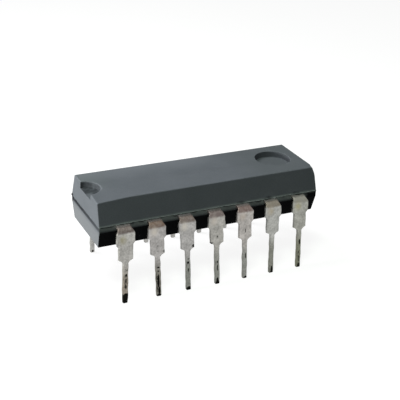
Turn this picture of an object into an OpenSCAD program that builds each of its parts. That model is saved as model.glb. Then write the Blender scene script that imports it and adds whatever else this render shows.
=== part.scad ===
// A fourteen-lead dual in-line package: an epoxy body moulded round a stamped and formed leadframe,
// with the die stuck to its pad and a bond wire from the die to every lead.
// Millimetres, +Z up. X runs along the body. The origin is the middle of the rectangle of lead tips,
// on the plane that they stand on. Lead 1 is at the notch end of the front row, which lies at -Y,
// leads 2 to 7 follow it along +X, and leads 8 to 14 come back along the other side.

/* [Body] */
// Length of the upright band round the body
body_l = 19; // [18.6:0.02:19.6]
// Width of the upright band round the body
body_w = 6.42; // [6.1:0.02:6.5]
// Height of the underside above the lead tips
underside_h = 4.34; // [4.2:0.02:5]
// Height of the moulding below the parting line
lower_h = 1.92; // [1.8:0.02:2.2]
// Height of the moulding above the parting line
upper_h = 1.9; // [1.5:0.02:2.2]
// Height of the upright band, which hangs down from the parting line
band_h = 0.48; // [0.4:0.02:0.6]
// Draft of the two long sides, in degrees
side_draft = 16.5; // [12:0.5:19]
// Draft of the two ends, in degrees
end_draft = 2; // [1:0.5:5]
// Radius along the edges of the top and the underside
edge_r = 0.08; // [0.04:0.01:0.18]
// How far the moulding fin stands out at the parting line
fin_reach = 0.06; // [0.02:0.01:0.12]
// Thickness of the moulding fin
fin_t = 0.06; // [0.04:0.01:0.12]

/* [Notch, recess and ejector marks] */
// Radius of the half-round notch that marks the lead 1 end
notch_r = 1.2; // [1:0.05:1.4]
// Depth of the notch
notch_depth = 0.5; // [0.3:0.05:0.7]
// Radius of the round recess near the other end, at its rim
recess_r = 1.5; // [1.2:0.05:1.6]
// Radius of the recess at its floor
recess_floor_r = 1.42; // [1.1:0.02:1.5]
// Depth of the recess
recess_depth = 0.5; // [0.3:0.05:0.7]
// Distance from the end of the top face to the recess's centre
recess_inset = 2.34; // [1.9:0.02:3]
// How far the recess lies behind the centre line
recess_offset = 0.2; // [0:0.05:0.4]
// Radius of the two ejector marks on the underside
mark_r = 1; // [0.6:0.05:1.2]
// Depth of the ejector marks
mark_depth = 0.08; // [0.04:0.01:0.15]
// Distance from the end of the underside to an ejector mark's centre
mark_inset = 2.2; // [1.6:0.05:3]

/* [Leads outside the body] */
// Distance between neighbouring leads
pitch = 2.54; // [2.5:0.01:2.58]
// Distance between the two rows, at the middle of the metal just under the bends
row_spacing = 7.62; // [7.6:0.01:7.9]
// Thickness of the leadframe
lead_t = 0.25; // [0.2:0.01:0.3]
// Depth of the leads' top faces below the parting line
lead_drop = 0.05; // [0.05:0.01:0.3]
// Inner radius of the bend
bend_r = 0.26; // [0.15:0.01:0.3]
// How far each leg splays outwards, in degrees
splay = 5; // [0:0.5:7]
// Width of a lead where it leaves the body
exit_w = 1.28; // [1.1:0.02:1.4]
// Length of that stretch, out to the sheared stubs of the dam bar
exit_run = 0.16; // [0.06:0.01:0.2]
// Width across the sheared stubs of the dam bar
stub_w = 1.5; // [1.42:0.02:1.7]
// Height above the tips at which the stubs end
stub_end_h = 5; // [4.6:0.05:5.4]
// Width of the leg's upper part
leg_w = 1.12; // [1:0.02:1.4]
// Height of the seating corners, where the leg starts to narrow
seat_h = 3.62; // [3:0.02:3.8]
// Height over which it narrows
seat_taper = 0.26; // [0.1:0.02:0.4]
// Width of the leg's narrow part, which enters the board
pin_w = 0.38; // [0.34:0.02:0.56]
// Size of the bevel on each corner of a tip
tip_bevel = 0.08; // [0.04:0.01:0.12]
// How far the tip of lead 1 has been pushed towards the end
bent_tip = 0.2; // [0:0.05:0.3]

/* [Leadframe inside the body] */
// Length of the die pad
pad_l = 4; // [3.6:0.1:4.4]
// Width of the die pad
pad_w = 2.7; // [2.5:0.1:2.9]
// How far the pad is pressed down below the leads
downset = 0.25; // [0.1:0.05:0.4]
// Width of a tie bar at the end of the body
tie_end_w = 0.9; // [0.7:0.05:1]
// Width of a tie bar beside the pad
tie_w = 0.4; // [0.3:0.02:0.46]
// Length of the tie bar's wide stretch
tie_end_l = 2; // [1:0.1:2.4]
// Clear gap between the pad and the fingers
finger_gap = 0.3; // [0.2:0.02:0.4]
// Clear gap between the two fingers at an end of the pad, and between them and the tie bar
finger_space = 0.2; // [0.15:0.01:0.25]
// Width of a finger's tip
finger_w = 0.38; // [0.3:0.02:0.44]
// Straight run of the fingers that meet the pad's long side
side_run = 0.3; // [0.25:0.05:0.4]
// Length over which those fingers fan out, from their root to their straight run
fan_l = 0.31; // [0.26:0.01:0.36]
// Straight run of the first finger that meets the pad's end; the second runs twice as far
end_run = 0.7; // [0.5:0.05:0.9]
// Width of a finger at its root, where it locks into the moulding
root_w = 1.28; // [1:0.02:1.4]
// Length of the finger's root
root_l = 0.95; // [0.8:0.05:1]
// Radius of the hole through each root, which the epoxy fills
lock_r = 0.25; // [0.15:0.01:0.3]

/* [Die and bond wires] */
// Length of the die
die_l = 2.3; // [1.8:0.1:2.6]
// Width of the die
die_w = 1.8; // [1.4:0.1:2]
// Thickness of the die
die_t = 0.3; // [0.2:0.02:0.4]
// Thickness of the layer that sticks the die to its pad
attach_t = 0.03; // [0.02:0.005:0.06]
// How far the layer shows round the die
attach_rim = 0.08; // [0.04:0.01:0.14]
// Distance from the die's edge to the middle of a ball bond
ball_inset = 0.12; // [0.08:0.01:0.2]
// Radius of a ball bond
ball_r = 0.045; // [0.035:0.005:0.06]
// Height of a ball bond
ball_h = 0.03; // [0.02:0.005:0.04]
// Radius of a bond wire
wire_r = 0.015; // [0.012:0.001:0.025]
// Height of a wire's loop above the die
loop_h = 0.3; // [0.2:0.02:0.4]
// Length of the flattened stitch at the wire's end
stitch_l = 0.12; // [0.08:0.01:0.16]
// Distance from the finger's tip to the stitch
stitch_inset = 0.2; // [0.15:0.01:0.3]

/* [Hidden] */
leads = 14;
row_leads = leads / 2;
big = 40;
round_fn = 72;
sink = 0.01;

epoxy_colour = [0.36, 0.37, 0.39];
tinned_colour = [0.66, 0.65, 0.61];
silvered_colour = [0.8, 0.8, 0.78];
silicon_colour = [0.3, 0.32, 0.4];
adhesive_colour = [0.75, 0.73, 0.7];
gold_colour = [0.85, 0.66, 0.25];

// Heights of the body
parting_z = underside_h + lower_h;
top_z = parting_z + upper_h;
band_foot_z = parting_z - band_h;
top_l = body_l - 2 * upper_h * tan(end_draft);
under_l = body_l - 2 * (lower_h - band_h) * tan(end_draft);

// Heights of the leadframe
lead_top_z = parting_z - lead_drop;
lead_foot_z = lead_top_z - lead_t;
pad_top_z = lead_top_z - downset;
die_top_z = pad_top_z + attach_t + die_t;

// Between the pad's side and the body's side, a finger's root, its fan and its straight run share the
// room in the proportion of their three lengths.
finger_room = body_w / 2 - pad_w / 2 - finger_gap;
finger_share = finger_room / (root_l + fan_l + side_run);
root_run = root_l * finger_share;
root_y = body_w / 2 - root_run;

// The bend turns a lead from level to its splayed leg. It starts on a whole thousandth of a millimetre,
// so that the level stretch ends on exactly the same plane.
bend_turn = 90 - splay;
bend_mid_r = bend_r + lead_t / 2;
bend_y = round((row_spacing / 2 - bend_mid_r * cos(splay)) * 1000) / 1000;
bend_z = lead_foot_z - bend_r;
leg_l = (bend_z + bend_r * sin(splay)) / cos(splay);

// A lead's place along the row, counted from the middle, and which side of the middle it is on
function row_place(n) = n <= row_leads ? n - (row_leads + 1) / 2 : leads + 1 - n - (row_leads + 1) / 2;
function steps_out(n) = abs(row_place(n));
function is_left(n) = row_place(n) < 0;
function is_front(n) = n <= row_leads;

// How far down a leg a given height lies, measured along the leg
function along_leg(h) = leg_l - h / cos(splay);

// The points of an arc that rounds a corner, from one tangent to the other
function arc(centre, r, from, to, steps = 5) =
    [for (i = [0 : steps]) centre + r * [cos(from + (to - from) * i / steps), sin(from + (to - from) * i / steps)]];

// One half of the body's section, from the underside's middle out and up to the top's middle.
// half is the half width of the band, and draft is the angle of the walls on it.
function half_section(half, draft) =
    let (
        lean = tan(draft),
        under_half = half - (lower_h - band_h) * lean,
        top_half = half - upper_h * lean,
        // How far in from a corner the centre of its round lies
        set_in = edge_r * (1 - sin(draft)) / cos(draft)
    )
    concat(
        arc([under_half - set_in, underside_h + edge_r], edge_r, -90, -draft),
        [
            [half, band_foot_z],
            [half, parting_z - fin_t / 2],
            [half + fin_reach, parting_z - fin_t / 2],
            [half + fin_reach, parting_z + fin_t / 2],
            [half - fin_t / 2 * lean, parting_z + fin_t / 2]
        ],
        arc([top_half - set_in, top_z - edge_r], edge_r, draft, 90)
    );

module section(half, draft) {
    right = half_section(half, draft);
    count = len(right);
    polygon(concat(right, [for (i = [1 : count]) [-right[count - i][0], right[count - i][1]]]));
}

// The outside of the moulding: the section of its long sides crossed with the section of its ends
module moulding() {
    intersection() {
        rotate([90, 0, 90]) linear_extrude(big, center = true) section(body_w / 2, side_draft);
        rotate([90, 0, 0]) linear_extrude(big, center = true) section(body_l / 2, end_draft);
    }
}

module notch() {
    translate([-top_l / 2, 0, top_z - notch_depth]) cylinder(r = notch_r, h = big, $fn = round_fn);
}

module recess() {
    translate([top_l / 2 - recess_inset, recess_offset, top_z - recess_depth])
        cylinder(r1 = recess_floor_r, r2 = recess_r, h = recess_depth, $fn = round_fn);
}

module ejector_marks() {
    for (side = [-1, 1])
        translate([side * (under_l / 2 - mark_inset), 0, underside_h - big])
            cylinder(r = mark_r, h = big + mark_depth, $fn = round_fn);
}

// The epoxy body fills every gap round the leadframe, the die and the wires. The cuts for a wire's ball and
// stitch reach a little into the die and the finger, so that no film is left between two cuts.
module package_body() {
    color(epoxy_colour) difference() {
        moulding();
        notch();
        recess();
        ejector_marks();
        for (n = [1 : leads]) lead_metal(n);
        pad_metal();
        attach_layer();
        die_block();
        for (n = [1 : leads]) wire_metal(n, sink);
    }
}

// Puts a lead or wire that is drawn at the back right of the middle where lead n is
module at_lead(n) {
    mirror([is_left(n) ? 1 : 0, 0, 0]) mirror([0, is_front(n) ? 1 : 0, 0]) children();
}

// The outline of the leg, drawn flat with its bend end at the top and x to the right
module leg_outline(shift) {
    stub_y = -along_leg(stub_end_h);
    seat_y = -along_leg(seat_h);
    pin_y = -along_leg(seat_h - seat_taper);
    polygon([
        [stub_w / 2, 0],
        [stub_w / 2, stub_y],
        [leg_w / 2, stub_y - (stub_w - leg_w) / 2],
        [leg_w / 2, seat_y],
        [pin_w / 2, pin_y],
        [pin_w / 2 + shift, tip_bevel - leg_l],
        [pin_w / 2 - tip_bevel + shift, -leg_l],
        [tip_bevel - pin_w / 2 + shift, -leg_l],
        [-pin_w / 2 + shift, tip_bevel - leg_l],
        [-pin_w / 2, pin_y],
        [-leg_w / 2, seat_y],
        [-leg_w / 2, stub_y - (stub_w - leg_w) / 2],
        [-stub_w / 2, stub_y],
        [-stub_w / 2, 0]
    ]);
}

// The splayed leg, from the end of the bend to the tip
module leg(shift) {
    translate([0, bend_y, bend_z]) rotate([splay, 0, 0]) translate([0, bend_r + lead_t, 0])
        rotate([90, 0, 0]) linear_extrude(lead_t) leg_outline(shift);
}

module bend() {
    translate([stub_w / 2, bend_y, bend_z]) rotate([0, -90, 0])
        rotate_extrude(angle = bend_turn, $fn = round_fn)
            translate([bend_r, 0]) square([lead_t, stub_w]);
}

// The level stretch between the body and the bend, which carries the dam bar's stubs
module shoulder() {
    stub_start = body_w / 2 + exit_run;
    translate([0, 0, lead_foot_z]) linear_extrude(lead_t) {
        translate([-exit_w / 2, body_w / 2]) square([exit_w, bend_y - body_w / 2]);
        translate([-stub_w / 2, stub_start]) square([stub_w, bend_y - stub_start]);
    }
}

// The middle line of the finger of the lead that is k places from the middle: root, two elbows and tip.
// Fingers of the two inner places meet the pad's long side, and those of the two outer places its end.
function finger_path(k) =
    let (
        to_side = k < 2,
        past_bar = 3 - k,
        tip = to_side
            ? [k * (pad_l / 2 - finger_w * 2), pad_w / 2 + finger_gap]
            : [pad_l / 2 + finger_gap, (tie_w + finger_w) / 2 + finger_space + past_bar * (finger_w + finger_space)],
        run = to_side ? [0, side_run * finger_share] : [(k - 1) * end_run, 0]
    )
    [[k * pitch, root_y], tip + run, tip];

function turned(v) = [-v[1], v[0]];
function unit(v) = v / norm(v);

// The outline of a strip of changing width along a path, with a mitre at each elbow
function strip(path, widths) =
    let (
        last = len(path) - 1,
        ways = [for (i = [0 : last - 1]) unit(path[i + 1] - path[i])],
        offsets = [for (i = [0 : last])
            let (a = turned(ways[max(i - 1, 0)]), b = turned(ways[min(i, last - 1)]), m = unit(a + b))
            m * widths[i] / 2 / (m * a)]
    )
    concat([for (i = [0 : last]) path[i] + offsets[i]], [for (i = [0 : last]) path[last - i] - offsets[last - i]]);

module finger(k) {
    translate([0, 0, lead_foot_z]) linear_extrude(lead_t) difference() {
        union() {
            translate([k * pitch - root_w / 2, root_y]) square([root_w, root_run]);
            polygon(strip(
                concat([[k * pitch, root_y + root_run / 2]], finger_path(k)),
                [root_w / 2, root_w / 2, finger_w, finger_w]
            ));
        }
        translate([k * pitch, root_y + root_run / 2]) circle(r = lock_r, $fn = round_fn);
    }
}

// One lead, stamped and formed from a single strip: finger, shoulder, bend and leg
module lead_metal(n) {
    k = steps_out(n);
    at_lead(n) {
        finger(k);
        translate([k * pitch, 0, 0]) {
            shoulder();
            bend();
            leg(n == 1 ? bent_tip : 0);
        }
    }
}

module lead(n) {
    color(tinned_colour) lead_metal(n);
}

// The section of the pad and its tie bars along the body: level at the ends and pressed down between
module pad_run(from_x, to_x) {
    slope = downset;
    pad_half = pad_l / 2;
    intersection() {
        polygon([
            [0, pad_top_z - lead_t],
            [pad_half, pad_top_z - lead_t],
            [pad_half + slope, lead_foot_z],
            [body_l / 2, lead_foot_z],
            [body_l / 2, lead_top_z],
            [pad_half + slope, lead_top_z],
            [pad_half, pad_top_z],
            [0, pad_top_z]
        ]);
        translate([from_x, 0]) square([to_x - from_x, big]);
    }
}

module bar(from_x, to_x, w) {
    rotate([90, 0, 0]) linear_extrude(w, center = true) pad_run(from_x, to_x);
}

// The pad that carries the die, with a tie bar to each end of the body, where it is sheared off flush
module pad_metal() {
    translate([-pad_l / 2, -pad_w / 2, pad_top_z - lead_t]) cube([pad_l, pad_w, lead_t]);
    for (side = [0, 1]) mirror([side, 0, 0]) {
        bar(pad_l / 2 - tie_w, body_l / 2 - tie_end_l, tie_w);
        bar(body_l / 2 - tie_end_l, body_l / 2, tie_end_w);
    }
}

module die_pad() {
    color(silvered_colour) pad_metal();
}

module block(l, w, t, z) {
    translate([-l / 2, -w / 2, z]) cube([l, w, t]);
}

module attach_layer() {
    block(die_l + 2 * attach_rim, die_w + 2 * attach_rim, attach_t, pad_top_z);
}

module die_attach() {
    color(adhesive_colour) attach_layer();
}

module die_block() {
    block(die_l, die_w, die_t, pad_top_z + attach_t);
}

module die() {
    color(silicon_colour) die_block();
}

// Where the wire of the lead k places from the middle is bonded: on the die's edge and on the finger's tip
function ball_at(k) =
    k < 2
        ? [k * (die_l / 2 - ball_inset) * 0.65, die_w / 2 - ball_inset]
        : [die_l / 2 - ball_inset, (die_w / 2 - ball_inset) * (k < 3 ? 0.6 : 0.2)];
function stitch_at(k) =
    let (path = finger_path(k), tip = path[2])
    tip + unit(path[1] - tip) * stitch_inset;

// A point of the loop, a cubic curve that leaves the ball upright and comes down level on the stitch
function loop_point(u, run) =
    let (
        start = [0, die_top_z + ball_h / 2],
        rise = [0, die_top_z + ball_h + loop_h * 1.5],
        fall = [run * 0.6, lead_top_z + wire_r],
        end = [run, lead_top_z + wire_r]
    )
    pow(1 - u, 3) * start + 3 * u * pow(1 - u, 2) * rise + 3 * u * u * (1 - u) * fall + pow(u, 3) * end;

// A six-sided wire along the loop, in the upright plane through its two bonds
module wire_run(run) {
    rings = 10;
    sides = 6;
    step = 0.01;
    points = [for (i = [0 : rings])
        let (
            u = i / rings,
            p = loop_point(u, run),
            way = unit(loop_point(min(u + step, 1), run) - loop_point(max(u - step, 0), run)),
            across = turned(way)
        )
        for (j = [0 : sides - 1])
            let (a = 360 * (j + 0.5) / sides)
            [p[0] + across[0] * wire_r * sin(a), wire_r * cos(a), p[1] + across[1] * wire_r * sin(a)]];
    walls = [for (i = [0 : rings - 1], j = [0 : sides - 1])
        let (a = i * sides + j, b = i * sides + (j + 1) % sides)
        each [[a, b + sides, b], [a, a + sides, b + sides]]];
    caps = [
        [for (j = [0 : sides - 1]) j],
        [for (j = [0 : sides - 1]) (rings + 1) * sides - 1 - j]
    ];
    polyhedron(points, concat(walls, caps));
}

// One bond wire: its ball on the die, its loop and its stitch on the finger. sink lowers the feet of both.
module wire_metal(n, sink = 0) {
    k = steps_out(n);
    ball = ball_at(k);
    stitch = stitch_at(k);
    run = norm(stitch - ball);
    at_lead(n) translate([ball[0], ball[1], 0]) rotate([0, 0, atan2(stitch[1] - ball[1], stitch[0] - ball[0])]) {
        translate([0, 0, die_top_z - sink]) cylinder(r = ball_r, h = ball_h + sink, $fn = round_fn);
        wire_run(run);
        translate([run - stitch_l / 2, -2 * wire_r, lead_top_z - sink]) cube([stitch_l, 4 * wire_r, wire_r + sink]);
    }
}

module wire(n) {
    color(gold_colour) wire_metal(n);
}

package_body();
die_pad();
die_attach();
die();
for (n = [1 : leads]) lead(n);
for (n = [1 : leads]) wire(n);
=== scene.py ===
"""The looks of a fourteen-lead dual in-line package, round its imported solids. Sizes are in millimetres
in the sections, and become metres where a mesh is made."""

import math

import bmesh
import bpy
import numpy as np
from mathutils import Euler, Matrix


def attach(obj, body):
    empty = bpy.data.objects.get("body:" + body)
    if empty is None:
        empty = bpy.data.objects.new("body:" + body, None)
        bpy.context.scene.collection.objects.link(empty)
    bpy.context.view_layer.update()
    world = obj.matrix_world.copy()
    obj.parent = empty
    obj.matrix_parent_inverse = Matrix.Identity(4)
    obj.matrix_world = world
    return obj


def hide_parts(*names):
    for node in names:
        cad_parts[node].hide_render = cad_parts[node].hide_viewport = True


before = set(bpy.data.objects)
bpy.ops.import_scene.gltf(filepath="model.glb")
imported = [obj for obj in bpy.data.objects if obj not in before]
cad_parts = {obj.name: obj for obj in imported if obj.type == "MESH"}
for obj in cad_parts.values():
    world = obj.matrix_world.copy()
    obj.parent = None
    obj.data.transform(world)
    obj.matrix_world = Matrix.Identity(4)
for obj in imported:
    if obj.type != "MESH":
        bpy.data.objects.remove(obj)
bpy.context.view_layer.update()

# The leads.
# Each is one strip of a copper-alloy leadframe, stamped flat, moulded into the body, dipped in solder
# and then bent down. The stubs beside the bend are what is left of the dam bar that held the strips.
MM = 0.001
LEADS = 14
PITCH = 2.54
STRIP_T, STRIP_EDGE_R = 0.25, 0.045
STRIP_TOP_Z = 6.21
BODY_W = 6.42
ROW_SPACING = 7.62
BEND_R = 0.26
SPLAY = math.radians(5)
EXIT_W, EXIT_RUN, EXIT_FLARE = 1.12, 0.45, 0.3
STUB_W, STUB_END_H = 1.46, 5.0
LEG_W, SEAT_H, SEAT_TAPER = 1.12, 3.62, 0.26
PIN_W = 0.38
TIP_ROUND, TIP_THINNING = 0.08, 0.05
ROOT_W, ROOT_L = 1.28, 0.95
LOCK_R, PUNCH_LOW, PUNCH_HIGH = 0.25, 5.8, 6.4
FINGER_W, FINGER_GAP, FINGER_SPACE = 0.38, 0.3, 0.2
PAD_L, PAD_W, TIE_W = 4.0, 2.7, 0.4
SIDE_RUN, END_RUN = 0.3, 0.7

strip_mid_z = STRIP_TOP_Z - STRIP_T / 2
bend_mid_r = BEND_R + STRIP_T / 2
bend_turn = math.pi / 2 - SPLAY
bend_y = round(ROW_SPACING / 2 - bend_mid_r * math.cos(SPLAY), 3)
bend_z = STRIP_TOP_Z - STRIP_T - BEND_R
bend_end = bend_y + bend_mid_r * bend_turn
leg_l = (bend_z + BEND_R * math.sin(SPLAY)) / math.cos(SPLAY)


def rounded_rectangle(long_steps, short_steps, corner_steps):
    """Goes once round a rounded rectangle, anticlockwise. Returns each point's anchor and outward direction:
    the point is the anchor times (half size - radius), plus the direction times the radius."""
    long, short = (np.linspace(-1, 1, steps + 1)[1:-1] for steps in (long_steps, short_steps))
    anchors, outs = [], []
    sides = (
        (np.stack([long, -np.ones_like(long)], 1), -90),
        (np.stack([np.ones_like(short), short], 1), 0),
        (np.stack([-long, np.ones_like(long)], 1), 90),
        (np.stack([-np.ones_like(short), -short], 1), 180),
    )
    for side, angle in sides:
        turn = np.radians(angle + np.linspace(0, 90, corner_steps + 1))
        flat = np.radians([angle])
        corner = np.round(math.sqrt(2) * np.array([math.cos(turn.mean()), math.sin(turn.mean())]))
        anchors += [side, np.tile(corner, (len(turn), 1))]
        outs += [np.tile(np.stack([np.cos(flat), np.sin(flat)], 1), (len(side), 1))]
        outs += [np.stack([np.cos(turn), np.sin(turn)], 1)]
    return np.concatenate(anchors), np.concatenate(outs)


def closed_surface(name, rings, inside_out=False):
    """Makes an object of rings of points, in millimetres: each point is joined to the next in its ring and
    to its like in the next ring, and a flat face closes the first and the last ring."""
    rows, around = rings.shape[:2]
    index = np.arange(rows * around).reshape(rows, around)
    low, high = index[:-1], index[1:]
    quads = np.stack([low, np.roll(low, -1, 1), np.roll(high, -1, 1), high], -1).reshape(-1, 4)
    faces = quads.tolist() + [index[0][::-1].tolist(), index[-1].tolist()]
    if inside_out:
        faces = [face[::-1] for face in faces]
    mesh = bpy.data.meshes.new(name)
    mesh.from_pydata((rings.reshape(-1, 3) * MM).tolist(), [], faces)
    mesh.update()
    piece = bpy.data.objects.new(name, mesh)
    bpy.context.scene.collection.objects.link(piece)
    return piece


def soften(piece, angle):
    """Shades the piece smooth, except over edges sharper than the angle, in degrees."""
    piece.data.shade_smooth()
    piece.data.set_sharp_from_angle(angle=math.radians(angle))


def turned_solid(name, profile, centre, steps=96):
    """A solid of revolution: each (radius, height) of the profile, from its foot up, is turned about the
    upright line through the centre."""
    angle = np.arange(steps) * 2 * math.pi / steps
    radius, height = np.array(profile).T
    rings = np.stack([
        centre[0] + np.outer(radius, np.cos(angle)),
        centre[1] + np.outer(radius, np.sin(angle)),
        np.repeat(height[:, None], steps, 1),
    ], -1)
    return closed_surface(name, rings)


def cut(piece, tools):
    """Takes the tools out of the piece with one exact Boolean, applies it and deletes the tools. Points that
    it leaves on top of each other are then made one, and slivers are dissolved."""
    group = bpy.data.collections.new("tools")
    for tool in tools:
        group.objects.link(tool)
    boolean = piece.modifiers.new("cut", "BOOLEAN")
    boolean.operation, boolean.solver = "DIFFERENCE", "EXACT"
    boolean.operand_type, boolean.collection = "COLLECTION", group
    bpy.context.view_layer.update()
    shaped = bpy.data.meshes.new_from_object(piece.evaluated_get(bpy.context.evaluated_depsgraph_get()))
    joined, closeness = bmesh.new(), 2e-8
    joined.from_mesh(shaped)
    bmesh.ops.remove_doubles(joined, verts=joined.verts, dist=closeness)
    bmesh.ops.dissolve_degenerate(joined, edges=joined.edges, dist=closeness)
    joined.to_mesh(shaped)
    joined.free()
    piece.modifiers.clear()
    old, piece.data = piece.data, shaped
    bpy.data.meshes.remove(old)
    for tool in tools:
        bpy.data.objects.remove(tool)
    bpy.data.collections.remove(group)


def ripple(along, around, seed, waves=16):
    """Unevenness from about -1 to 1: the sum of sine waves of random length and phase, along the strip in
    millimetres and a whole number of times around it."""
    random = np.random.default_rng(seed)
    per_mm = random.uniform(0.15, 1.3, waves)
    turns = random.integers(-3, 4, waves)
    phase = random.uniform(0, 1, waves)
    angle = 2 * math.pi * (along[..., None] * per_mm + around[..., None] * turns + phase)
    return np.sin(angle).sum(-1) / math.sqrt(waves)


def row_place(n):
    """A lead's place along its row, counted from the middle: -3 to 3 in the front row for leads 1 to 7, and
    back from 3 to -3 in the back row."""
    half = LEADS // 2
    return n - (half + 1) / 2 if n <= half else LEADS + 1 - n - (half + 1) / 2


def finger_edges(k):
    """The left and right edge of the finger of the lead k places from the middle, point by point from its
    tip to the root block: a strip with a mitre at its elbow, widening to half the root's width."""
    root = np.array([k * PITCH, BODY_W / 2 - ROOT_L])
    if k < 2:
        tip = np.array([k * (PAD_L / 2 - FINGER_W * 2), PAD_W / 2 + FINGER_GAP])
        elbow = tip + [0, SIDE_RUN]
    else:
        across = (TIE_W + FINGER_W) / 2 + FINGER_SPACE + (3 - k) * (FINGER_W + FINGER_SPACE)
        tip = np.array([PAD_L / 2 + FINGER_GAP, across])
        elbow = tip + [(k - 1) * END_RUN, 0]
    path = np.array([tip, elbow, root, root + [0, ROOT_L / 2]])
    widths = np.array([FINGER_W, FINGER_W, ROOT_W / 2, ROOT_W / 2])
    ways = np.diff(path, axis=0)
    ways /= np.linalg.norm(ways, axis=1)[:, None]
    sides = np.stack([ways[:, 1], -ways[:, 0]], 1)
    mitres = sides[[0, 0, 1, 2]] + sides[[0, 1, 2, 2]]
    mitres /= np.linalg.norm(mitres, axis=1)[:, None]
    offsets = mitres * (widths / 2 / (mitres * sides[[0, 1, 2, 2]]).sum(1))[:, None]
    left, right = path - offsets, path + offsets
    # Where the left edge runs into the root block: its side for a slanting finger, its inner line otherwise
    if k:
        side_x = k * PITCH - ROOT_W / 2
        share = (side_x - left[1, 0]) / (left[2, 0] - left[1, 0])
        meets = [side_x, left[1, 1] + share * (left[2, 1] - left[1, 1])]
    else:
        meets = [-ROOT_W / 4, root[1]]
    return np.array([left[0], left[1], meets]), right[:3]


def blank_edges(k, lean):
    """Both edges of a lead as it is stamped, before it is bent: across is x, along is the distance from the
    package's middle line measured in the strip's middle layer. lean moves the tip of the pin sideways."""
    left, right = finger_edges(k)
    # The root block starts over two short steps, so that no two rows share a place
    middle, root_y, step = k * PITCH, BODY_W / 2 - ROOT_L, 0.004
    corner = middle + ROOT_W / 4
    seam = max(left[2, 1], root_y)
    left_x = [left[2, 0], left[2, 0] if k else middle - ROOT_W / 2]
    rows = [
        ([left_x[0], seam + step], [corner, root_y + step]),
        ([left_x[1], seam + 2 * step], [middle + ROOT_W / 2, root_y + 2 * step]),
        ([middle - ROOT_W / 2, seam + 0.1], [middle + ROOT_W / 2, seam + 0.1]),
    ]

    def level(along, width):
        # The lean grows from the stubs' foot to the tip
        shift = lean * np.clip(1 - (bend_end + leg_l - along) / STUB_END_H, 0, 1)
        rows.append(([middle - width / 2 + shift, along], [middle + width / 2 + shift, along]))

    def on_leg(height):
        return bend_end + leg_l - height / math.cos(SPLAY)

    face = BODY_W / 2
    level(face - 0.1, ROOT_W)
    level(face, EXIT_W)
    level(face + EXIT_RUN, EXIT_W)
    level(face + EXIT_RUN + EXIT_FLARE, STUB_W)
    level(on_leg(STUB_END_H), STUB_W)
    level(on_leg(STUB_END_H) + (STUB_W - LEG_W) / 2, LEG_W)
    level(on_leg(SEAT_H), LEG_W)
    level(on_leg(SEAT_H - SEAT_TAPER / 2), (LEG_W + 2 * PIN_W) / 3)
    level(on_leg(SEAT_H - SEAT_TAPER * 1.1), PIN_W)
    level(bend_end + leg_l - TIP_ROUND, PIN_W)
    lefts, rights = zip(*rows)
    return np.concatenate([left, lefts]), np.concatenate([right, rights])


def resample(edges, spacing):
    """Adds rows between the rows of both edges, evenly, so that no two are further apart than the spacing."""
    middle = (edges[0] + edges[1]) / 2
    steps = np.maximum(np.ceil(np.linalg.norm(np.diff(middle, axis=0), axis=1) / spacing), 1).astype(int)
    between = [np.arange(count) / count + row for row, count in enumerate(steps)]
    place = np.concatenate(between + [[len(steps)]])
    whole = np.arange(len(middle))
    return [np.stack([np.interp(place, whole, edge[:, axis]) for axis in (0, 1)], 1) for edge in edges]


def form(across, along, off):
    """Bends the blank: level as far as the bend, then round its arc, then straight down the splayed leg.
    off is the distance from the strip's middle layer, towards its outer side."""
    turn = np.clip(along - bend_y, 0, bend_end - bend_y) / bend_mid_r
    flat = np.minimum(along, bend_y)
    leg = np.maximum(along - bend_end, 0)
    y = flat + (bend_mid_r + off) * np.sin(turn) + leg * np.cos(turn)
    z = bend_z + (bend_mid_r + off) * np.cos(turn) - leg * np.sin(turn)
    return np.stack([across, y, z], -1)


def lock_place(n):
    """Where the hole is punched through a lead's root, for the epoxy to lock into."""
    side = -1 if n <= LEADS // 2 else 1
    return row_place(n) * PITCH, side * (BODY_W / 2 - ROOT_L / 2)


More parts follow.
